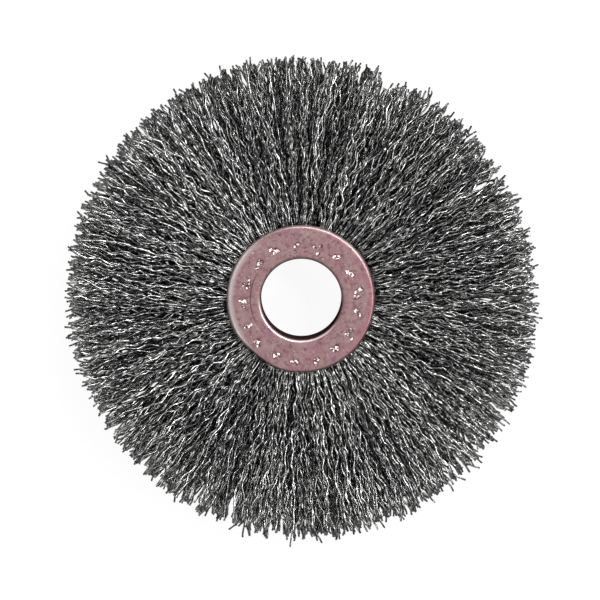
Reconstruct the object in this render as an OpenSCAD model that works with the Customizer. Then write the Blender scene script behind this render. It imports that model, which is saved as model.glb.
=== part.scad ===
// Crimped wire wheel brush with a copper centre. It lies flat on its wires, with the bore's
// axis along Z and the origin at the middle of the bore. Sizes are in millimetres.
// The wires are hooked over a holding ring inside the copper centre. They are drawn as
// locks, each a group of nested crimped wires that runs from the ring out to the rim.

/* [Copper centre] */
// Diameter of the arbor hole
bore_d = 12.8; // [11.6:0.1:13.6]
// Thickness of the copper wall and flanges
copper_t = 1.1; // [0.9:0.05:1.4]
// Width over the two flange faces
centre_w = 9.5; // [9:0.1:12]
// Diameter of the flanges
flange_d = 23.4; // [22.6:0.1:27]
// Radius of the rolled mouth at each end of the bore
mouth_r = 0.7; // [0.3:0.05:0.85]
// Radius on the outer edge of each flange
edge_r = 0.65; // [0.3:0.05:0.85]
// How far the edge of each flange is turned in over the wires
turn_in = 0.35; // [0.2:0.05:0.8]
// Diameter of the shallow groove that the closing tool leaves in each face
groove_d = 16.2; // [15.4:0.1:18]
// Depth of the tool groove
groove_depth = 0.12; // [0.05:0.01:0.25]
// Width of the tool groove
groove_w = 0.5; // [0.3:0.05:0.8]

/* [Holding ring] */
// Diameter of the ring's steel wire
ring_wire_d = 1.6; // [1.2:0.1:1.8]
// Open gap where the ring's two ends meet
ring_butt = 0.3; // [0.1:0.1:1]

/* [Wires] */
// Mean diameter over the trimmed tips
brush_d = 75.4; // [64:0.2:90]
// Width of the brush face at the rim
face_w = 12.7; // [11.6:0.1:16]
// Number of sectors that the wires are laid in
sectors = 21; // [18:1:24]
// Height of the crimp from peak to peak
crimp_h = 0.9; // [0.4:0.05:1.1]
// Length of one crimp wave
crimp_len = 5.7; // [4.8:0.1:8]
// Radial thickness of one layer of wires where it turns round the ring
bend_t = 0.6; // [0.4:0.05:0.7]
// Width of a lock at its tip, along the rim
tip_w = 1.7; // [1:0.1:2]
// Thickness of a lock at its tip, across the face
tip_t = 2; // [1.4:0.1:2.2]
// Clearance between the wires and what grips them
seat_gap = 0.05; // [0.03:0.01:0.1]
// Clearance between neighbouring locks where they turn round the ring
lock_gap = 0.15; // [0.1:0.05:0.3]

/* [Rim] */
// Scatter of the tips in and out from the trimmed rim
trim_scatter = 0.8; // [0:0.1:1.2]
// How far the trimmed rim stands off the bore's centre
trim_off = 0.16; // [0:0.02:0.6]
// How far the trimmed rim is out of round
trim_oval = 0.32; // [0:0.02:0.6]
// How far the short wires in the notch fall below the rim
notch_depth = 3; // [0:0.1:4]
// Angle of the notch's steep side, counter-clockwise from +X
notch_at = 68.5; // [0:0.5:350]
// Angle over which the rim comes back after the notch
notch_span = 7; // [4:0.5:12]

/* [Hidden] */
bore_r = bore_d / 2;
tube_r = bore_r + copper_t;
flange_r = flange_d / 2;
face_z = centre_w / 2;
channel_z = face_z - copper_t;
throat_z = channel_z - turn_in;
ring_wire_r = ring_wire_d / 2;
ring_r = tube_r + 3 * seat_gap + 2 * bend_t + ring_wire_r;

// Layer 0 hugs the ring and layer 1 goes over it. Each layer is a U between its base, the
// side towards the ring, and its ridge, the side away from it.
root_t = (throat_z - ring_wire_r - 3 * seat_gap) / 2;
base_z = [for (layer = [0 : 1]) ring_wire_r + seat_gap + layer * (root_t + seat_gap)];
base_in = [for (layer = [0 : 1]) ring_wire_r + seat_gap + layer * (bend_t + seat_gap)];
rim_z = [face_w * 0.15, (face_w - tip_t) / 2];

// Locks are spread evenly round the ring, two to a sector in each layer.
locks = 2 * sectors;
pitch = 360 / locks;
root_w = 2 * PI * (ring_r - base_in[1]) / locks - lock_gap;
exit_r = flange_r + 0.15;
mean_tip_r = brush_d / 2;
half_waves = round(2 * (mean_tip_r - exit_r) / crimp_len);
corner = tan(22.5);

// Fixed scatter, four legs to a lock: lean in degrees, shift of the crimp along the wire,
// change of its height, and the tip's place.
seed = 41;
legs = 4 * locks;
lean = rands(-0.9, 0.9, legs, seed);
slip = rands(-0.34, 0.34, legs, seed + 1);
swell = rands(0.75, 1.15, legs, seed + 2);
reach = rands(-1, 1, legs, seed + 3);
tuck = rands(-1, 1, legs, seed + 4);

$fn = 72;
small_fn = 24;

function wires_name(s) = str("wires_", s < 10 ? "0" : "", s);
function mix(a, b, t) = a + (b - a) * t;
function wrap(a) = a - 360 * floor(a / 360);

// The trimmed rim: a little off centre, a little out of round, and short in one notch.
function notch(a) =
    let (past = wrap(notch_at - a))
    past < notch_span ? notch_depth * (1 - past / notch_span) : 0;
function rim_r(a) =
    mean_tip_r + trim_off * cos(a - 118) + trim_oval * cos(2 * (a - 100)) - notch(a);

// A point at angle a, radius r, sideways offset u and height z.
function place(a, r, u, z) = [r * cos(a) - u * sin(a), r * sin(a) + u * cos(a), z];

// A three-cornered section of a lock: two corners on its base and one on its ridge, each
// given as [radius, height].
function section(a, u, w, base, ridge) = [
    place(a, base[0], u - w / 2, base[1]),
    place(a, base[0], u + w / 2, base[1]),
    place(a, ridge[0], u, ridge[1])
];

// The U round the ring, as the corners of half an octagon that is stretched to its height
// z and its reach towards the axis d.
function u_bend(z, d) = [
    [ring_r - corner * d, z],
    [ring_r - d, corner * z],
    [ring_r - d, -corner * z],
    [ring_r - corner * d, -z]
];
function bend_sections(a, layer) =
    let (
        base = u_bend(base_z[layer], base_in[layer]),
        ridge = u_bend(base_z[layer] + root_t, base_in[layer] + bend_t)
    )
    [for (i = [0 : 3]) section(a, 0, root_w, base[i], ridge[i])];

// One leg from the throat to its tip. It leans and widens on the way, and it swings from
// side to side at every half wave of the crimp.
function leg_sections(a, layer, side, id) =
    let (
        swing = side * pitch / 8 + lean[id],
        tip_r = rim_r(a + swing) + trim_scatter * reach[id],
        root_z = base_z[layer] + root_t / 2,
        tip_z = rim_z[layer] - (layer == 1 ? 0.5 : 0.3) * max(0, tuck[id]),
        hand = id % 2 == 0 ? 1 : -1
    )
    [for (i = [0 : half_waves])
        let (
            inner = i > 0 && i < half_waves,
            t = (i + (inner ? slip[id] : 0)) / half_waves,
            r = mix(exit_r, tip_r, t),
            thick = mix(root_t, tip_t, t),
            wave = i == 0 ? 0 : (i == 1 ? 0.6 : 1) * (i % 2 == 0 ? 1 : -1) * crimp_h / 2,
            z = side * mix(root_z, tip_z, t),
            half = side * thick / 2
        )
        section(a + swing * t, hand * swell[id] * wave, mix(root_w, tip_w, t),
            [r, z - half], [r, z + half])];

function reversed(list) = [for (i = [len(list) - 1 : -1 : 0]) list[i]];

// A hairpin: in along its front leg, round the ring, and out along its back leg.
function hairpin_sections(a, layer, id) = concat(
    reversed(leg_sections(a, layer, 1, id)),
    bend_sections(a, layer),
    leg_sections(a, layer, -1, id + 1)
);

// Skins a run of three-cornered sections and closes both ends.
module skin(sections) {
    n = len(sections);
    polyhedron(
        points = [for (s = sections) each s],
        faces = concat(
            [[2, 1, 0]],
            [for (i = [0 : n - 2], j = [0 : 2])
                let (a = 3 * i + j, b = 3 * i + (j + 1) % 3)
                each [[a, b + 3, a + 3], [a, b, b + 3]]],
            [[3 * n - 3, 3 * n - 2, 3 * n - 1]]
        )
    );
}

// The locks of one sector. The two layers are half a pitch apart.
module wires(s) {
    color([0.34, 0.34, 0.34])
        for (k = [2 * s - 2, 2 * s - 1], layer = [0 : 1])
            skin(hairpin_sections((k + layer / 2) * pitch, layer, 4 * k + 2 * layer));
}

// A quarter-round corner to cut from the profile: its corner is at the origin, and the
// profile lies along +X and -Y of it.
module outer_corner(r) {
    difference() {
        translate([-r, -r]) square(2 * r);
        translate([r, -r]) circle(r, $fn = small_fn);
    }
}

// Half the section of the copper centre, above the middle plane.
module centre_profile() {
    groove_rad = (groove_w * groove_w / 4 + groove_depth * groove_depth) / (2 * groove_depth);
    difference() {
        translate([bore_r, 0]) square([flange_r - bore_r, face_z]);
        translate([tube_r, -face_z]) square([flange_r - tube_r - copper_t, face_z + channel_z]);
        translate([tube_r, -face_z]) square([flange_r, face_z + throat_z]);
        translate([bore_r, face_z]) outer_corner(mouth_r);
        translate([flange_r, face_z]) mirror([1, 0]) outer_corner(edge_r);
        translate([groove_d / 2, face_z + groove_rad - groove_depth])
            circle(groove_rad, $fn = small_fn);
    }
}

// The copper centre: a tube whose two ends are rolled out into flanges, with their outer
// edges turned in over the wires.
module copper_centre() {
    color([0.63, 0.50, 0.51])
        rotate_extrude() {
            centre_profile();
            mirror([0, 1]) centre_profile();
        }
}

// The holding ring: a steel wire bent round until its ends nearly meet.
module holding_ring() {
    gap_angle = ring_butt / ring_r * 180 / PI;
    color([0.45, 0.45, 0.46])
        rotate(gap_angle / 2)
            rotate_extrude(angle = 360 - gap_angle)
                translate([ring_r, 0]) circle(ring_wire_r, $fn = small_fn);
}

copper_centre();
holding_ring();
for (s = [1 : sectors])
    wires(s);
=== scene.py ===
"""Crimped wire wheel brush with a copper centre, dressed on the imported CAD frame.

The wheel lies flat on its wires. Sizes in the classes are in millimetres, and MM turns them
into Blender's metres where a mesh is written.
"""

import logging
import math
from dataclasses import dataclass, field
from enum import Enum

import bmesh
import bpy
import numpy as np
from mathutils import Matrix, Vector

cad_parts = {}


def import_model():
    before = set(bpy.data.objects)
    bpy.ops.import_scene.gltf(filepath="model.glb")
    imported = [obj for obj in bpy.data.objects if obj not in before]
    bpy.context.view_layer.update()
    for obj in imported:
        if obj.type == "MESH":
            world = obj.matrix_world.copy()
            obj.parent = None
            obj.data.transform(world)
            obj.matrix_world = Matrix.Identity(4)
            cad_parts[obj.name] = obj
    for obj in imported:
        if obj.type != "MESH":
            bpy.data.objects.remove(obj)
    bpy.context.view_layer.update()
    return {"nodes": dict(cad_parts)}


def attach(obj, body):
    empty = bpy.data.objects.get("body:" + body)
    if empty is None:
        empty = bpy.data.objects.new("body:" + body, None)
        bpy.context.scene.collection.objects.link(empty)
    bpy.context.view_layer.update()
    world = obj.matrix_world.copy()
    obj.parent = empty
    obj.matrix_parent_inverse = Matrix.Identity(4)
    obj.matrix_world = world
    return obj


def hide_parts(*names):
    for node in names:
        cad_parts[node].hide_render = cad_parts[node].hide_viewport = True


MM = 0.001
# How near a vertex lies to its ring, and how near corners lie that are one, in millimetres.
NEAR = 0.01
MERGE = 0.001
WHITE = (1.0, 1.0, 1.0)
BODY = "root"
LOG = logging.getLogger("wire_wheel")

Colour = tuple[float, float, float]
# Blobs to a millimetre, layers of finer noise, and the strength of the finer layers.
Noise = tuple[float, float, float]
# Where a mask is 0 and where it is 1.
Span = tuple[float, float]
# Scatter that the wires of a lock share, and scatter of each single wire.
Scatter = tuple[float, float]


class Slot(Enum):
    """Material slots of the record."""

    COPPER = "copper"
    WIRE = "wire_steel"


class Side(Enum):
    """The two faces of the brush."""

    FRONT = 1
    BACK = -1


class Socket:
    """A shader output that takes part in Python arithmetic."""

    def __init__(self, shader: "Shader", output: bpy.types.NodeSocket) -> None:
        """Wraps one output of a node.

        Args:
            shader: The node tree's builder.
            output: The socket that gives the value.
        """
        self.shader = shader
        self.output = output

    def math(self, operation: str, *others: "Feed") -> "Socket":
        """Adds a Math node behind this value.

        Args:
            operation: The node's operation.
            others: Its second and third values.

        Returns:
            The node's result.
        """
        values = dict(enumerate((self, *others)))
        return self.shader.node("ShaderNodeMath", {"operation": operation}, values)

    def __add__(self, other: "Feed") -> "Socket":
        """Sum."""
        return self.math("ADD", other)

    __radd__ = __add__

    def __mul__(self, other: "Feed") -> "Socket":
        """Product."""
        return self.math("MULTIPLY", other)

    __rmul__ = __mul__

    def __sub__(self, other: "Feed") -> "Socket":
        """Difference."""
        return self.math("SUBTRACT", other)

    def __rsub__(self, other: float) -> "Socket":
        """Difference from a number."""
        return self.shader.node("ShaderNodeMath", {"operation": "SUBTRACT"}, {0: other, 1: self})

    def __pow__(self, other: "Feed") -> "Socket":
        """Power."""
        return self.math("POWER", other)

    def __abs__(self) -> "Socket":
        """Absolute value."""
        return self.math("ABSOLUTE")

    def step(self, low: float, high: float) -> "Socket":
        """Rises smoothly from 0 at low to 1 at high, or falls if high is the lower.

        Args:
            low: The value that gives 0.
            high: The value that gives 1.

        Returns:
            The smooth mask.
        """
        flip = high < low
        ends = {"From Min": min(low, high), "From Max": max(low, high)}
        ends |= {"To Min": float(flip), "To Max": float(not flip), "Value": self}
        return self.shader.node("ShaderNodeMapRange", {"interpolation_type": "SMOOTHSTEP"}, ends)


Feed = Socket | float | Colour


class Shader:
    """Builds the node tree of one material or of the world."""

    def __init__(self, owner: bpy.types.Material | bpy.types.World) -> None:
        """Empties the owner's node tree.

        Args:
            owner: The material or world.
        """
        owner.use_nodes = True
        self.tree = owner.node_tree
        self.tree.nodes.clear()

    def node(self, kind: str, settings: dict[str, object] | None = None,
             inputs: dict[str | int, Feed] | None = None, out: str | int = 0) -> Socket:
        """Adds one node.

        Args:
            kind: The node's type.
            settings: Its properties, set first.
            inputs: Values or links by the socket's name or number.
            out: The output to give back.

        Returns:
            That output.
        """
        made = self.tree.nodes.new(kind)
        for key, value in (settings or {}).items():
            setattr(made, key, value)
        for key, value in (inputs or {}).items():
            target = made.inputs[key]
            if isinstance(value, Socket):
                self.tree.links.new(value.output, target)
            elif isinstance(value, tuple) and target.type == "RGBA":
                target.default_value = (*value, 1.0)
            else:
                target.default_value = value
        return Socket(self, made.outputs[out] if len(made.outputs) else None)

    def mix(self, factor: Feed, a: Feed, b: Feed) -> Socket:
        """Mixes two colours.

        Args:
            factor: The share of b.
            a: Colour at 0.
            b: Colour at 1.

        Returns:
            The mixed colour.
        """
        settings = {"data_type": "RGBA", "clamp_factor": True}
        return self.node("ShaderNodeMix", settings, {0: factor, 6: a, 7: b}, 2)

    def millimetres(self) -> Socket:
        """Gives the shaded point on the object.

        Returns:
            The point, in millimetres.
        """
        place = self.node("ShaderNodeTexCoord", out="Object")
        scale = {0: place, "Scale": 1 / MM}
        return self.node("ShaderNodeVectorMath", {"operation": "SCALE"}, scale)

    def axis(self, place: Socket, name: str) -> Socket:
        """One of X, Y and Z of a point."""
        return self.node("ShaderNodeSeparateXYZ", None, {0: place}, name)

    def attribute(self, name: str) -> Socket:
        """The piece's own value of that name."""
        return self.node("ShaderNodeAttribute", {"attribute_name": name}, None, "Fac")

    def noise(self, place: Socket, scale: float, detail: float, rough: float) -> Socket:
        """Noise from 0 to 1.

        Args:
            place: The point, in millimetres.
            scale: Blobs to a millimetre.
            detail: Layers of finer noise.
            rough: Strength of the finer layers.

        Returns:
            The noise value.
        """
        values = {"Vector": place, "Scale": scale, "Detail": detail, "Roughness": rough}
        return self.node("ShaderNodeTexNoise", None, values, "Fac")

    def surface(self, shader: Socket) -> None:
        """Sends a shader to the output."""
        self.node("ShaderNodeOutputMaterial", None, {"Surface": shader})


def new_material(name: str) -> tuple[bpy.types.Material, Shader]:
    """Makes an empty material.

    Args:
        name: Its name.

    Returns:
        The material and its builder.
    """
    material = bpy.data.materials.new(name)
    return material, Shader(material)


@dataclass(frozen=True)
class Blotch:
    """Uneven patches of one colour, where a noise is high."""

    colour: Colour
    noise: Noise
    span: Span
    share: float


@dataclass(frozen=True)
class CopperFinish:
    """Dull pressed copper with plain punch marks, carrying painted shade and painted highlights.

    The names that end in _r, _x, _y and _z are places on the piece, in millimetres.
    """

    name: str = "dull_copper"
    dent_name: str = "punch_dent"
    plain: Colour = (0.151, 0.079, 0.089)
    grey: Colour = (0.166, 0.110, 0.108)
    # Dark copper, for random stains and for painted shade round the dents.
    deep_stain_and_shade: Colour = (0.072, 0.030, 0.037)
    scuff: Colour = (0.36, 0.25, 0.25)
    # Red copper, for random stains and for painted shade on the right edge.
    red_stain_and_shade: Colour = (0.165, 0.062, 0.076)
    # Painted reflection on the left edge.
    painted_reflection: Colour = (0.26, 0.235, 0.23)
    # Painted highlight for the glints in the marks.
    painted_glint: Colour = (0.95, 0.84, 0.82)
    # Painted highlight for the mouth and the top of the rim.
    painted_edge_highlight: Colour = (0.66, 0.55, 0.54)
    # Near-black painted shade, for the groove, the dents, the channel under the flanges and the bore's
    # wall.
    painted_shade: Colour = (0.025, 0.012, 0.012)
    cloud_noise: Noise = (0.45, 6.0, 0.62)
    cloud_span: Span = (0.35, 0.65)
    grain_noise: Noise = (7.0, 4.0, 0.7)
    blotches: tuple[Blotch, ...] = (
        Blotch(red_stain_and_shade, (2.6, 2.0, 0.55), (0.62, 0.75), 0.25),
        Blotch(deep_stain_and_shade, (1.4, 5.0, 0.7), (0.48, 0.70), 0.88),
        Blotch(deep_stain_and_shade, grain_noise, (0.50, 0.72), 0.6),
        Blotch(scuff, (3.3, 3.0, 0.65), (0.60, 0.72), 0.7),
    )
    right_shade_r: Span = (10.2, 11.7)
    right_shade_x: Span = (5.5, 9.5)
    right_shade_y: Span = (4.0, 0.0)
    left_reflection_r: Span = (10.5, 11.3)
    left_reflection_x: Span = (-5.0, -10.0)
    painted_side_share: float = 0.75
    groove_r: float = 8.1
    groove_shade_half: Span = (0.2, 0.06)
    groove_shade_x: Span = (-6.4, -7.8)
    groove_shade_share: float = 0.6
    ragged_noise: Noise = (3.6, 3.0, 0.6)
    ragged_share: float = 1.2
    dent_rim_shade_edge: Span = (0.0, 0.12)
    dent_rim_shade_span: Span = (-0.22, 0.06)
    dent_rim_shade_share: float = 0.75
    mark_edge: Span = (0.02, 0.15)
    mark_span: Span = (0.25, 0.55)
    mark_grain: Span = (0.28, 0.5)
    mark_painted_shade: float = 0.5
    mark_painted_glint: float = 0.85
    glint_spot_noise: Noise = (2.4, 2.0, 0.55)
    glint_spot_span: Span = (0.44, 0.58)
    mouth_highlight_r: Span = (6.84, 6.74)
    mouth_highlight_y: Span = (-1.0, -5.5)
    mouth_highlight_skew: float = 0.3
    rim_r: Span = (11.3, 11.5)
    rim_highlight_y: Span = (4.0, 8.5)
    rim_highlight_share: float = 0.45
    channel_shade_r: Span = (11.6, 11.2)
    channel_shade_z: Span = (4.0, 3.7)
    channel_shade_share: float = 0.7
    bore_shade_r: Span = (6.62, 6.5)
    bore_shade_z: Span = (4.55, 4.25)
    edge_r: Span = (11.1, 11.4)
    edge_share: float = 0.7
    grain_bump: float = 0.018
    cloud_bump: float = 0.06
    mark_bump: float = 0.07
    metallic: float = 0.9
    rough: float = 0.54
    grain_rough: float = 0.14
    mark_shine: float = 0.20
    edge_shine: float = 0.34

    def make(self) -> bpy.types.Material:
        """Builds the material.

        Returns:
            The finished copper.
        """
        material, shader = new_material(self.name)
        place = shader.millimetres()
        x, y, z = (shader.axis(place, name) for name in "XYZ")
        radius = (x * x + y * y).math("SQRT")
        cloud = shader.noise(place, *self.cloud_noise)
        grain = shader.noise(place, *self.grain_noise)
        colour = shader.mix(cloud.step(*self.cloud_span), self.plain, self.grey)
        for blotch in self.blotches:
            patches = shader.noise(place, *blotch.noise).step(*blotch.span)
            colour = shader.mix(patches * blotch.share, colour, blotch.colour)
        # Painted shade: the right edge is tinted redder, as its shaded side.
        right = radius.step(*self.right_shade_r) * x.step(*self.right_shade_x) * y.step(*self.right_shade_y)
        colour = shader.mix(right * self.painted_side_share, colour, self.red_stain_and_shade)
        # Painted shade in the groove, on its left side only.
        groove_shade = abs(radius - self.groove_r).step(*self.groove_shade_half) * x.step(*self.groove_shade_x)
        colour = shader.mix(groove_shade * self.groove_shade_share, colour, self.painted_shade)
        # Painted reflection: the left edge is paled as if it mirrored a pale surface.
        left_reflection = radius.step(*self.left_reflection_r) * x.step(*self.left_reflection_x)
        colour = shader.mix(left_reflection * self.painted_side_share, colour, self.painted_reflection)

        dent = shader.attribute(self.dent_name)
        ragged = shader.noise(place, *self.ragged_noise) - 0.5
        # Painted shade round the rims of the dents.
        dent_rim_shade = dent.step(*self.dent_rim_shade_edge) * ragged.step(*self.dent_rim_shade_span)
        marks = dent.step(*self.mark_edge) * grain.step(*self.mark_grain)
        marks = marks * (dent + ragged * self.ragged_share).step(*self.mark_span)
        # Spots where the marks get a painted glint instead of painted shade.
        glint_spots = shader.noise(place, *self.glint_spot_noise).step(*self.glint_spot_span)
        colour = shader.mix(dent_rim_shade * self.dent_rim_shade_share, colour, self.deep_stain_and_shade)
        # Painted shade in the dents, where no painted glint falls.
        colour = shader.mix(marks * (1 - glint_spots) * self.mark_painted_shade, colour, self.painted_shade)
        # Painted highlights: near-white glints in the dents.
        colour = shader.mix(marks * glint_spots * self.mark_painted_glint, colour, self.painted_glint)

        # Painted highlights on the lower side of the bore's mouth and on the top of the outer rim.
        mouth = radius.step(*self.mouth_highlight_r) * (y + x * self.mouth_highlight_skew).step(*self.mouth_highlight_y)
        rim = radius.step(*self.rim_r) * y.step(*self.rim_highlight_y)
        colour = shader.mix(mouth.math("MAXIMUM", rim * self.rim_highlight_share), colour, self.painted_edge_highlight)
        # Painted shade on the surfaces deeper than the faces: the channel between the flanges and the
        # middle of the bore.
        channel_shade = radius.step(*self.channel_shade_r) * abs(z).step(*self.channel_shade_z)
        colour = shader.mix(channel_shade * self.channel_shade_share, colour, self.painted_shade)

        height = grain * self.grain_bump + cloud * self.cloud_bump - marks * self.mark_bump
        bump = shader.node("ShaderNodeBump", None, {"Strength": 1.0, "Distance": MM, "Height": height})
        edge = mouth.math("MAXIMUM", radius.step(*self.edge_r) * self.edge_share)
        rough = self.rough + grain * self.grain_rough - marks * self.mark_shine - edge * self.edge_shine
        copper = shader.node("ShaderNodeBsdfPrincipled", None, {
            "Base Color": colour, "Metallic": self.metallic, "Roughness": rough, "Normal": bump})
        # Painted shade: the bore's wall, away from its mouths, is a matt near-black instead of copper.
        bore_shade = shader.node("ShaderNodeBsdfPrincipled", None, {
            "Base Color": self.painted_shade, "Roughness": 1.0, "Specular IOR Level": 0.0})
        wall = radius.step(*self.bore_shade_r) * abs(z).step(*self.bore_shade_z)
        shader.surface(shader.node("ShaderNodeMixShader", None, {0: wall, 1: copper, 2: bore_shade}))
        return material


@dataclass(frozen=True)
class SteelFinish:
    """Bare drawn steel wire: grey, with darker and brighter stretches.

    With a tone's name the pieces' own values of that name take part, the wires are a little
    brighter towards the rim, and their last ends are darker.
    """

    name: str
    tone_name: str = ""
    dark: Colour = (0.004, 0.004, 0.004)
    bright: Colour = (0.77, 0.77, 0.755)
    patch_noise: Noise = (1.5, 3.0, 0.55)
    patch_span: Span = (0.30, 0.75)
    grain_noise: Noise = (9.0, 2.0, 0.55)
    tone_share: float = 0.45
    contrast: float = 2.3
    outer_r: Span = (24.0, 38.5)
    outer_lift: float = 0.065
    tip_r: Span = (35.5, 37.6)
    tip_dark: float = 0.6
    rough: float = 0.15
    patch_rough: float = 0.15
    grain_rough: float = 0.05

    def make(self) -> bpy.types.Material:
        """Builds the material.

        Returns:
            The finished steel.
        """
        material, shader = new_material(self.name)
        place = shader.millimetres()
        patch = shader.noise(place, *self.patch_noise)
        grain = shader.noise(place, *self.grain_noise)
        share = patch.step(*self.patch_span)
        if self.tone_name:
            tone = shader.attribute(self.tone_name)
            x, y = (shader.axis(place, name) for name in "XY")
            radius = (x * x + y * y).math("SQRT")
            share = (tone * self.tone_share + share * (1 - self.tone_share)) ** self.contrast
            share = share + radius.step(*self.outer_r) * self.outer_lift
            share = share * (1 - radius.step(*self.tip_r) * self.tip_dark)
        colour = shader.mix(share, self.dark, self.bright)
        rough = self.rough + patch * self.patch_rough + grain * self.grain_rough
        shader.surface(shader.node("ShaderNodeBsdfPrincipled", None, {
            "Base Color": colour, "Metallic": 1.0, "Roughness": rough}))
        return material


@dataclass
class CopperCentre:
    """The pressed copper centre: a tube whose ends are rolled out into two flanges."""

    finish: CopperFinish
    node: str = "copper_centre"
    bore_r: float = 6.4
    wall: float = 1.1
    width: float = 9.5
    flange_r: float = 11.78
    mouth: float = 0.7
    edge: float = 0.65
    lip: float = 0.3
    turn_in: float = 0.35
    groove_r: float = 8.1
    groove_w: float = 0.5
    groove_depth: float = 0.03
    band_out: float = 10.75
    band_step: float = 0.15
    band_rings: int = 16
    marks: int = 17
    mark_r: float = 9.2
    marks_down: float = 0.7
    mark_reach: float = 0.6
    dot_sizes: tuple[float, float] = (0.26, 0.46)
    dot_depth: float = 0.15
    steps: int = 360
    round_steps: int = 7
    lip_steps: int = 4
    soft_steps: int = 2
    groove_soft: float = 0.1
    settle_r: float = 9.6
    settle_z: float = 4.0
    oval: float = 0.05
    oval_at: float = 40.0
    ripple: float = 0.03
    shift: float = 0.07
    knock_at: float = 230.0
    knock_span: float = 17.0
    knock_in: float = 0.5
    knock_down: float = 0.16
    droop: float = 0.05
    droop_at: float = 60.0
    seed: int = 5

    def half_profile(self) -> list[tuple[float, float]]:
        """Corners of the upper half of the section, from the channel's floor to the bore.

        Returns:
            Pairs of radius and height.
        """
        face = self.width / 2
        tube = self.bore_r + self.wall
        inner = self.flange_r - self.wall
        channel = face - self.wall
        throat = channel - self.turn_in
        half = self.groove_w / 2
        return [
            (tube, channel), (inner, channel), (inner, throat), (self.flange_r, throat),
            (self.flange_r, face),
            *[(self.band_out - ring * self.band_step, face) for ring in range(self.band_rings)],
            (self.groove_r + half, face), (self.groove_r, face - self.groove_depth),
            (self.groove_r - half, face), (self.bore_r, face),
        ]

    def loops(self, bm: bmesh.types.BMesh, radius: float, height: float) -> list[bmesh.types.BMEdge]:
        """The ring edges at a corner of the section, on both faces.

        Args:
            bm: The spun mesh.
            radius: The corner's radius.
            height: Its height.

        Returns:
            The edges of the two rings.
        """
        def here(vert: bmesh.types.BMVert, side: Side) -> bool:
            """Whether a vertex lies on the ring of one face."""
            flat = math.hypot(vert.co.x, vert.co.y)
            return abs(flat - radius) < NEAR and abs(vert.co.z - side.value * height) < NEAR

        return [e for side in Side for e in bm.edges if all(here(v, side) for v in e.verts)]

    def bevel(self, bm: bmesh.types.BMesh, radius: float, height: float, size: float,
              segments: int) -> None:
        """Rounds a corner of the section on both faces.

        Args:
            bm: The spun mesh.
            radius: The corner's radius.
            height: Its height.
            size: The rounding's radius.
            segments: Steps of the rounding.
        """
        bmesh.ops.bevel(bm, geom=self.loops(bm, radius, height), offset=size, offset_type="OFFSET",
                        segments=segments, profile=0.5, affect="EDGES", material=-1, clamp_overlap=True)

    def dots(self) -> np.ndarray:
        """Chooses the dots of the punch marks, three to five to a mark.

        Returns:
            One row for each dot: its X, its Y and its radius.
        """
        rng = np.random.default_rng(self.seed)
        rows = []
        for mark in range(self.marks):
            turn = (mark + 0.5) * math.tau / self.marks
            for _ in range(rng.integers(3, 6)):
                along, across = rng.uniform(-self.mark_reach, self.mark_reach, 2)
                far = self.mark_r + across
                rows.append((far * math.cos(turn) - along * math.sin(turn),
                             far * math.sin(turn) + along * math.cos(turn) - self.marks_down,
                             rng.uniform(*self.dot_sizes)))
        return np.array(rows)

    def punch(self, bm: bmesh.types.BMesh) -> None:
        """Presses the punch marks into the front face and notes them for the finish.

        Args:
            bm: The spun mesh.
        """
        layer = bm.verts.layers.float.new(self.finish.dent_name)
        dots = self.dots()
        for vert in bm.verts:
            if vert.co.z > self.width / 2 - NEAR:
                away = np.hypot(dots[:, 0] - vert.co.x, dots[:, 1] - vert.co.y) / dots[:, 2]
                vert[layer] = 1 - min(away.min(), 1) ** 2
                vert.co.z -= self.dot_depth * vert[layer]

    def settle(self, bm: bmesh.types.BMesh) -> None:
        """Gives the pressed flanges their slight unevenness and one knock at the outer edge.

        Args:
            bm: The spun mesh.
        """
        for vert in bm.verts:
            flat = math.hypot(vert.co.x, vert.co.y)
            angle = math.degrees(math.atan2(vert.co.y, vert.co.x)) % 360
            out = max(0.0, (flat - self.settle_r) / (self.flange_r - self.settle_r)) ** 2
            wave = self.oval * math.sin(math.radians(2 * angle + self.oval_at))
            wave += self.ripple * math.sin(math.radians(5 * angle))
            shift = self.shift * math.cos(math.radians(angle))
            knock = math.exp(-(((angle - self.knock_at) / self.knock_span) ** 2))
            scale = 1 + out * (wave - shift - self.knock_in * knock) / self.flange_r
            lean = 1 + math.sin(math.radians(angle - self.droop_at))
            down = out * (self.droop * lean + self.knock_down * knock)
            vert.co.x *= scale
            vert.co.y *= scale
            if abs(vert.co.z) > self.settle_z:
                vert.co.z -= math.copysign(down, vert.co.z)

    def build(self) -> bpy.types.Object:
        """Spins the section, rounds its corners and dresses it.

        Returns:
            The finished piece.
        """
        face = self.width / 2
        throat = face - self.wall - self.turn_in
        half = self.half_profile()
        section = half + [(r, -z) for r, z in reversed(half)]
        bm = bmesh.new()
        verts = [bm.verts.new((r, 0, z)) for r, z in section]
        edges = [bm.edges.new((a, b)) for a, b in zip(verts, verts[1:] + verts[:1])]
        bmesh.ops.spin(bm, geom=verts + edges, cent=(0, 0, 0), axis=(0, 0, 1), dvec=(0, 0, 0),
                       angle=math.tau, steps=self.steps, use_merge=True, use_duplicate=False)
        bmesh.ops.remove_doubles(bm, verts=bm.verts, dist=MERGE)
        self.bevel(bm, self.bore_r, face, self.mouth, self.round_steps)
        self.bevel(bm, self.flange_r, face, self.edge, self.round_steps)
        self.bevel(bm, self.flange_r, throat, self.lip, self.lip_steps)
        self.bevel(bm, self.flange_r - self.wall, throat, self.lip / 2, self.soft_steps)
        for edge_r in (self.groove_r + self.groove_w / 2, self.groove_r - self.groove_w / 2):
            self.bevel(bm, edge_r, face, self.groove_soft, self.soft_steps)
        self.punch(bm)
        self.settle(bm)
        bmesh.ops.recalc_face_normals(bm, faces=bm.faces)
        for poly in bm.faces:
            poly.smooth = True
        return finish_piece(bm, "copper_centre_dressed", self.finish.make(), (self.node,))


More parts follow.
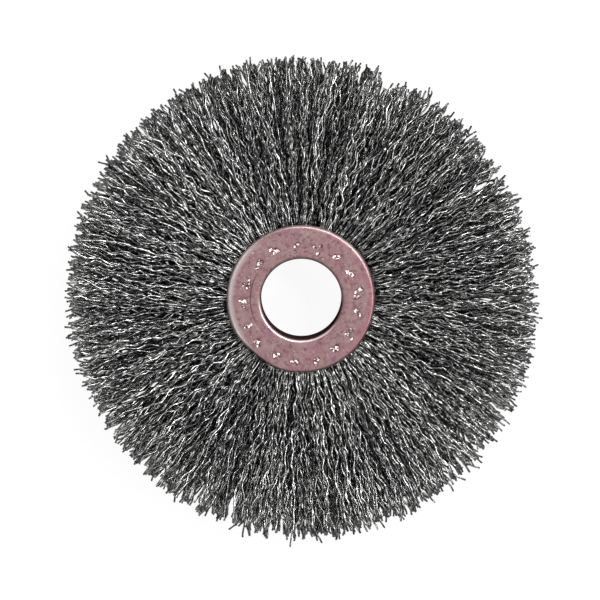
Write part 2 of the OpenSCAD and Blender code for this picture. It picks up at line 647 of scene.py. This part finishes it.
@dataclass
class HoldingRing:
    """The steel ring that the wires are folded over, carried over from the CAD."""

    finish: SteelFinish
    node: str = "holding_ring"

    def dress(self, nodes: dict[str, bpy.types.Object]) -> bpy.types.Object:
        """Gives the CAD node its finish.

        Args:
            nodes: The CAD nodes by name.

        Returns:
            The dressed node.
        """
        ring = nodes[self.node]
        material = self.finish.make()
        for slot in ring.material_slots:
            slot.material = material
        return ring


@dataclass
class WireFill:
    """The crimped wires, laid in locks of a few nested wires.

    Every wire here is one leg of a hairpin: from the middle of its bend on the holding ring,
    out between the flanges, to its tip. The two legs of a hairpin meet at that middle. Leans
    and places round the wheel are in degrees, phases and the plane of the crimp in radians. The
    drift's waves each have a lean, a number of waves round the wheel and a phase, its partings
    a lean, a place and a width, and the crimp's runs a phase, a number of waves round the wheel
    and a change with depth.
    """

    finish: SteelFinish
    node_count: int = 21
    columns: int = 6
    layers: int = 6
    nest: tuple[tuple[float, float], ...] = ((0, 0), (1, 0.3))
    nest_pitch: float = 0.30
    nest_depth: float = 0.07
    wire_r: float = 0.18
    wire_corners: int = 3
    ring_r: float = 9.65
    hug: float = 1.0
    hug_more: float = 0.85
    crown: float = 1.0
    crown_more: float = 2.0
    bend_diagonal: float = 0.74
    exit_r: float = 11.85
    exit_z: float = 0.2
    exit_more: float = 2.75
    tip_z: float = -0.5
    tip_more: float = 6.5
    flare: float = 0.8
    face_z: float = 6.15
    rim_r: float = 37.08
    longest_r: float = 39.3
    rim_off: float = 0.16
    rim_off_at: float = 7.0
    rim_oval: float = 0.50
    rim_oval_at: float = 102.0
    notch_depth: float = 3.2
    notch_at: float = 70.2
    notch_span: float = 6.0
    drift_waves: tuple[tuple[float, int, float], ...] = ((1.6, 3, 0.6), (0.7, 7, 2.0), (0.4, 12, 0))
    partings: tuple[tuple[float, float, float], ...] = ((2.6, 71, 7), (-0.8, 58, 6))
    tufts: int = 195
    tuft_scatter: float = 0.33
    tuft_pull: tuple[float, float] = (0.3, 0.97)
    crimp: float = 0.3335
    crimp_scatter: float = 0.16
    crimp_limits: tuple[float, float] = (0.5, 1.4)
    crimp_from: float = 3.5
    crimp_runs: tuple[tuple[float, int, float], ...] = ((2.6, 5, 4), (1.9, 13, -3))
    quarters: int = 26
    tail: float = 0.35
    wobble: float = 0.7
    weave: float = 0.45
    weave_turns: float = 2.3
    weave_from: float = 6.0
    swap: float = 0.30
    root_scatter: float = 0.18
    depth_scatter: Scatter = (0.22, 0.03)
    lean_scatter: Scatter = (0.8, 2.4)
    phase_scatter: Scatter = (2.0, 1.0)
    reach_scatter: Scatter = (0.30, 0.42)
    plane_scatter: Scatter = (0.5, 0.35)
    bow_scatter: Scatter = (0.32, 0.16)
    tone_scatter: Scatter = (0.10, 0.18)
    fan: float = 0.14
    fan_more: float = 0.08
    fan_spread: float = 0.45
    fan_scatter: float = 0.10
    hook: float = 0.12
    curl: float = 0.55
    kink: float = 0.20
    twist: float = 1.0
    stray_share: float = 0.013
    stray_lean: float = 4.0
    stray_hook: float = 0.7
    long_share: float = 0.08
    long_more: float = 1.2
    seed: int = 7
    rng: np.random.Generator = field(init=False)

    def __post_init__(self) -> None:
        """Seeds the fixed scatter."""
        self.rng = np.random.default_rng(self.seed)

    def rim(self, angle: np.ndarray) -> np.ndarray:
        """Radius of the trimmed rim.

        Args:
            angle: Angles round the axis, in degrees.

        Returns:
            The radii.
        """
        past = (self.notch_at - angle) % 360
        notch = np.where(past < self.notch_span, self.notch_depth * (1 - past / self.notch_span), 0)
        off = self.rim_off * np.cos(np.radians(angle - self.rim_off_at))
        oval = self.rim_oval * np.cos(np.radians(2 * (angle - self.rim_oval_at)))
        return self.rim_r + off + oval - notch

    def drift(self, angle: np.ndarray) -> np.ndarray:
        """How far the wires lean round the wheel by their tips, with the notch's parting.

        Args:
            angle: Angles at the root, in degrees.

        Returns:
            The leans, in degrees.
        """
        turn = np.radians(angle)
        slow = sum(lean * np.sin(count * turn + phase) for lean, count, phase in self.drift_waves)
        parting = sum(lean * np.exp(-(((angle - at) / width) ** 2)) for lean, at, width in self.partings)
        return slow + parting

    def scatter(self, spread: float, count: int) -> np.ndarray:
        """Draws that many values of fixed normal scatter."""
        return self.rng.normal(0, spread, count)

    def lay_legs(self) -> dict[str, np.ndarray]:
        """Chooses the place, lean and crimp of every leg, sector by sector.

        Returns:
            One array for each property, with one entry for each leg.
        """
        pitch = 360 / self.node_count
        sector, side, column, layer, member = (grid.ravel() for grid in np.meshgrid(
            np.arange(self.node_count), [side.value for side in Side], np.arange(self.columns),
            np.arange(self.layers), np.arange(len(self.nest)), indexing="ij"))
        lock = np.arange(sector.size) // len(self.nest)

        def shared(spread: float) -> np.ndarray:
            """Scatter with one value for all the legs of a lock."""
            return self.scatter(spread, lock[-1] + 1)[lock]

        def single(spread: float) -> np.ndarray:
            """Scatter with a value for each leg."""
            return self.scatter(spread, lock.size)

        def both(spreads: Scatter) -> np.ndarray:
            """Scatter of the locks and, on top of it, of the legs."""
            return shared(spreads[0]) + single(spreads[1])

        stagger = (layer % 2) * 0.5 + 0.25
        root = (sector + (column + stagger + shared(self.root_scatter)) / self.columns - 0.5) * pitch
        depth = (layer + 0.5 + shared(self.depth_scatter[0])) / self.layers
        nest_u, nest_w = np.array(self.nest)[member].T
        spread = np.abs(1 + shared(self.fan_spread))
        depth = np.clip(depth + nest_w * self.nest_depth + single(self.depth_scatter[1]), 0, 1)
        lean = self.drift(root % 360) + both(self.lean_scatter)
        stray = self.rng.random(lock.size) < self.stray_share
        lean = np.where(stray, lean + single(self.stray_lean), lean)
        # The tips gather in tufts: each is pulled some of the way to the nearest one.
        centres = (np.arange(self.tufts) + self.scatter(self.tuft_scatter, self.tufts)) * 360 / self.tufts
        away = (centres[None, :] - (root + lean)[:, None] + 180) % 360 - 180
        nearest = np.take_along_axis(away, np.abs(away).argmin(axis=1)[:, None], axis=1)[:, 0]
        lean = lean + nearest * self.rng.uniform(*self.tuft_pull, lock.size)
        fan = nest_u * (self.fan + self.fan_more * spread) + single(self.fan_scatter)
        hook = np.where(stray, single(self.stray_hook), single(self.hook))
        tip = root + lean + np.degrees((fan + hook) / self.rim_r)
        turn = np.radians(root)
        phase = sum(size * np.sin(count * turn + depth * slip) for size, count, slip in self.crimp_runs)
        phase = phase + both(self.phase_scatter)
        reach = both(self.reach_scatter)
        longer = self.rng.random(lock.size) < self.long_share
        reach = np.where(longer, reach + self.rng.random(lock.size) * self.long_more, reach)
        return {
            "sector": sector, "side": side, "root": root, "lean": lean, "depth": depth,
            "nest": nest_u * self.nest_pitch, "fan": fan, "hook": hook,
            "tip_r": np.minimum(self.rim(tip % 360) + reach, self.longest_r),
            "phase": phase % math.tau,
            "plane": both(self.plane_scatter),
            "height": self.crimp * np.clip(1 + single(self.crimp_scatter), *self.crimp_limits),
            "bow": both(self.bow_scatter),
            "roll": self.rng.random(lock.size) * math.tau,
            "tone": np.clip(0.5 + both(self.tone_scatter), 0, 1),
            "out_depth": np.clip(depth + single(self.swap), 0, 1),
            "weave": self.rng.random(lock.size) * math.tau,
            "curl": single(self.curl),
            "kink": single(self.kink),
            "twist": single(self.twist),
        }

    def centrelines(self, legs: dict[str, np.ndarray]) -> tuple[np.ndarray, np.ndarray]:
        """Lays each leg's middle line through its stations.

        Args:
            legs: The legs' properties.

        Returns:
            The stations' points and the angle round the axis at each, in radians.
        """
        one = {name: values[:, None] for name, values in legs.items()}
        length = one["tip_r"] - self.exit_r
        # Stations halfway between the crimp's peaks and its crossings draw it with few faces.
        quarter = math.pi / 2
        quarters = self.quarters + self.tail
        first = ((math.pi / 4 - one["phase"]) % quarter) / quarter
        between = (first + np.arange(self.quarters)) / quarters * length
        stations = np.concatenate([np.zeros_like(length), between, length], axis=1)
        along = stations / length
        swing = one["phase"] + quarter * quarters * along
        swing = swing + self.wobble * np.sin(3 * math.pi * along + one["weave"])
        wave = np.clip(stations / self.crimp_from, 0, 1) * one["height"] * np.sin(swing)
        side_way = one["bow"] * np.sin(math.pi * along) + one["curl"] * np.sin(math.tau * along)
        side_way = side_way + one["kink"] * np.sin(3 * math.pi * along) + one["hook"] * along ** 3
        plane = one["plane"] + one["twist"] * along
        sideways = wave * np.cos(plane) + side_way
        upward = wave * np.sin(plane)
        exit_z = self.exit_z + self.exit_more * one["depth"]
        tip_z = self.tip_z + self.tip_more * one["out_depth"]
        height = exit_z + (tip_z - exit_z) * along ** self.flare
        over_under = np.sin(one["weave"] + math.tau * self.weave_turns * along)
        height = height + self.weave * np.clip(stations / self.weave_from, 0, 1) * over_under

        # Three more stations turn round the holding ring, from its inner side to its crown.
        hug = self.hug + self.hug_more * one["depth"]
        crown = self.crown + self.crown_more * one["depth"]
        bend_r = self.ring_r - np.concatenate([hug, self.bend_diagonal * hug, 0 * hug], axis=1)
        bend_z = np.concatenate([0 * crown, self.bend_diagonal * crown, crown], axis=1)
        bend_u = np.repeat(one["nest"], 3, axis=1)
        flat = np.concatenate([bend_r, self.exit_r + stations], axis=1)
        up = one["side"] * np.concatenate([bend_z, height + upward], axis=1)
        fan = one["nest"] + (one["fan"] - one["nest"]) * along
        offset = np.concatenate([bend_u, fan + sideways], axis=1)
        turn = one["root"] + one["lean"] * np.concatenate([np.zeros_like(bend_r), along], axis=1)
        turn = np.radians(turn)
        points = np.stack([flat * np.cos(turn) - offset * np.sin(turn),
                           flat * np.sin(turn) + offset * np.cos(turn),
                           np.clip(up, -self.face_z, self.face_z)], axis=2)
        return points, turn

    def strand(self, stations: int) -> bmesh.types.BMesh:
        """Makes one straight three-sided wire with a ring of vertices at every station.

        Args:
            stations: How many rings it has.

        Returns:
            The strand, one unit long between stations.
        """
        bm = bmesh.new()
        bmesh.ops.create_cone(bm, cap_ends=True, segments=self.wire_corners, radius1=1, radius2=1,
                              depth=stations - 1)
        sides = [e for e in bm.edges if abs(e.verts[0].co.z - e.verts[1].co.z) > 0.5]
        bmesh.ops.subdivide_edges(bm, edges=sides, cuts=stations - 2)
        for face in bm.faces:
            face.smooth = len(face.verts) == 4
        return bm

    def bend(self, strand: bpy.types.Mesh, points: np.ndarray, turn: np.ndarray,
             roll: np.ndarray) -> np.ndarray:
        """Bends copies of the strand along the middle lines.

        Args:
            strand: The straight strand.
            points: Stations of each leg.
            turn: Angle round the axis at each station.
            roll: Turn of each leg's section.

        Returns:
            Vertices of all the legs, in the strand's order.
        """
        straight = np.zeros(len(strand.vertices) * 3)
        strand.vertices.foreach_get("co", straight)
        straight = straight.reshape(-1, 3)
        station = np.rint(straight[:, 2] + (points.shape[1] - 1) / 2).astype(int)
        corner = np.arctan2(straight[:, 1], straight[:, 0])[None, :] + roll[:, None]
        ahead = np.gradient(points, axis=1)
        ahead /= np.linalg.norm(ahead, axis=2, keepdims=True)
        round_axis = np.stack([-np.sin(turn), np.cos(turn), np.zeros_like(turn)], axis=2)
        over = np.cross(ahead, round_axis)
        over /= np.linalg.norm(over, axis=2, keepdims=True)
        beside = np.cross(over, ahead)
        section = np.cos(corner)[..., None] * beside[:, station]
        section += np.sin(corner)[..., None] * over[:, station]
        return points[:, station] + self.wire_r * section

    def build(self) -> list[bpy.types.Object]:
        """Makes the wires of every sector.

        Returns:
            One piece for each sector.
        """
        legs = self.lay_legs()
        points, turn = self.centrelines(legs)
        one = self.strand(points.shape[1])
        strand = bpy.data.meshes.new("strand")
        one.to_mesh(strand)
        one.free()
        placed = self.bend(strand, points, turn, legs["roll"])
        material = self.finish.make()
        pieces = []
        for index in range(self.node_count):
            chosen = legs["sector"] == index
            bm = bmesh.new()
            for _ in range(int(chosen.sum())):
                bm.from_mesh(strand)
            node = f"wires_{index + 1:02d}"
            piece = finish_piece(bm, f"{node}_crimped", material, (node,))
            piece.data.vertices.foreach_set("co", (placed[chosen] * MM).ravel())
            tone = piece.data.attributes.new(self.finish.tone_name, "FLOAT", "POINT")
            tone.data.foreach_set("value", np.repeat(legs["tone"][chosen], len(strand.vertices)))
            piece.data.update()
            pieces.append(piece)
        bpy.data.meshes.remove(strand)
        return pieces


def finish_piece(bm: bmesh.types.BMesh, name: str, material: bpy.types.Material,
                 nodes: tuple[str, ...]) -> bpy.types.Object:
    """Turns a bmesh in millimetres into a piece that stands for its CAD nodes.

    Args:
        bm: The mesh, freed here.
        name: The piece's name.
        material: Its finish.
        nodes: The CAD nodes that it replaces.

    Returns:
        The piece, riding on the body.
    """
    bmesh.ops.scale(bm, vec=(MM, MM, MM), verts=bm.verts)
    mesh = bpy.data.meshes.new(name)
    bm.to_mesh(mesh)
    bm.free()
    mesh.materials.append(material)
    piece = bpy.data.objects.new(name, mesh)
    bpy.context.scene.collection.objects.link(piece)
    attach(piece, BODY)
    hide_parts(*nodes)
    return piece


@dataclass(frozen=True)
class Lamp:
    """A long soft box that looks at the wheel."""

    name: str
    bearing: float
    height: float
    power: float
    width: float
    depth: float
    distance: float = 0.9

    def place(self) -> bpy.types.Object:
        """Puts the lamp in the scene.

        Returns:
            The lamp's object.
        """
        data = bpy.data.lights.new(self.name, "AREA")
        data.shape = "RECTANGLE"
        data.size = self.width
        data.size_y = self.depth
        data.energy = self.power
        lamp = bpy.data.objects.new(self.name, data)
        flat = self.distance * math.cos(math.radians(self.height))
        bearing = math.radians(self.bearing)
        rise = self.distance * math.sin(math.radians(self.height))
        lamp.location = (flat * math.cos(bearing), flat * math.sin(bearing), rise)
        lamp.rotation_euler = lamp.location.to_track_quat("Z", "Y").to_euler()
        lamp.visible_camera = False
        bpy.context.scene.collection.objects.link(lamp)
        return lamp


@dataclass
class Studio:
    """Floor, soft light, white surroundings and the camera."""

    floor_z: float = -6.35
    floor_r: float = 900.0
    floor_steps: int = 64
    floor_grey: float = 0.82
    floor_glow: float = 0.93
    ambient: float = 0.36
    frame_w: float = 95.65
    distance: float = 0.9
    tilt: float = 3.7
    aim: tuple[float, float] = (-0.207, -0.40)
    sensor: float = 36.0
    clip: tuple[float, float] = (0.05, 10.0)
    lamps: tuple[Lamp, ...] = (
        Lamp("key", 54.0, 42.0, 9.9, 0.9, 0.08),
        Lamp("fill", 158.0, 50.0, 2.3, 0.5, 0.10),
        Lamp("right", 32.0, 58.0, 4.0, 0.3, 0.10),
        Lamp("front", 232.0, 46.0, 3.3, 0.5, 0.10),
        Lamp("low", 346.0, 48.0, 4.1, 0.4, 0.10),
    )

    def seen(self, shader: Shader) -> Socket:
        """Tells rays that show the surroundings from rays that only light the wheel.

        Args:
            shader: The builder of the tree that asks.

        Returns:
            1 for rays from the camera, in gloss or through glass, and 0 for others.
        """
        rays = {name: shader.node("ShaderNodeLightPath", out=name)
                for name in ("Is Camera Ray", "Is Glossy Ray", "Is Transmission Ray")}
        first, second, third = rays.values()
        return first.math("MAXIMUM", second).math("MAXIMUM", third)

    def build_floor(self) -> bpy.types.Object:
        """Makes the pale floor under the wheel.

        Returns:
            The floor.
        """
        material, shader = new_material("pale_floor")
        grey = (self.floor_grey,) * 3
        matt = shader.node("ShaderNodeBsdfDiffuse", None, {"Color": grey})
        glow = shader.node("ShaderNodeEmission", None, {"Color": WHITE, "Strength": 1.0})
        factor = self.seen(shader) * self.floor_glow
        shader.surface(shader.node("ShaderNodeMixShader", None, {0: factor, 1: matt, 2: glow}))
        bm = bmesh.new()
        bmesh.ops.create_circle(bm, cap_ends=True, segments=self.floor_steps, radius=self.floor_r * MM)
        bmesh.ops.translate(bm, vec=(0, 0, self.floor_z * MM), verts=bm.verts)
        mesh = bpy.data.meshes.new("floor")
        bm.to_mesh(mesh)
        bm.free()
        mesh.materials.append(material)
        floor = bpy.data.objects.new("floor", mesh)
        bpy.context.scene.collection.objects.link(floor)
        return floor

    def build_world(self) -> None:
        """Makes the surroundings: white where they are seen, softer as light."""
        world = bpy.data.worlds.new("surroundings")
        bpy.context.scene.world = world
        shader = Shader(world)
        seen = self.seen(shader)
        strength = seen * (1 - self.ambient) + self.ambient
        back = shader.node("ShaderNodeBackground", None, {"Color": WHITE, "Strength": strength})
        shader.node("ShaderNodeOutputWorld", None, {"Surface": back})

    def build_camera(self) -> bpy.types.Object:
        """Places the camera over the wheel, tilted a little from its axis.

        Returns:
            The camera.
        """
        data = bpy.data.cameras.new("camera")
        data.sensor_width = self.sensor
        data.lens = self.sensor * self.distance / (self.frame_w * MM)
        data.clip_start, data.clip_end = self.clip
        camera = bpy.data.objects.new("camera", data)
        tilt = math.radians(self.tilt)
        aim = Vector((self.aim[0] * MM, self.aim[1] * MM, 0))
        camera.location = aim + self.distance * Vector((0, math.sin(tilt), math.cos(tilt)))
        camera.rotation_euler = (-tilt, 0, 0)
        bpy.context.scene.collection.objects.link(camera)
        bpy.context.scene.camera = camera
        return camera

    def build(self) -> None:
        """Sets the whole studio."""
        self.build_floor()
        self.build_world()
        for lamp in self.lamps:
            lamp.place()
        self.build_camera()
        bpy.context.scene.view_settings.view_transform = "Standard"


def report(piece: bpy.types.Object) -> None:
    """Logs a piece's name and how many faces it has."""
    LOG.info("%s: %d faces", piece.name, len(piece.data.polygons))


def main() -> None:
    """Builds the wheel and its studio."""
    logging.basicConfig(level=logging.INFO, format="%(message)s")
    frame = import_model()
    Studio().build()
    report(CopperCentre(CopperFinish()).build())
    report(HoldingRing(SteelFinish("ring_steel")).dress(frame["nodes"]))
    fill = WireFill(SteelFinish("drawn_wire", tone_name="wire_tone"))
    for piece in fill.build():
        report(piece)


if __name__ == "__main__":
    main()
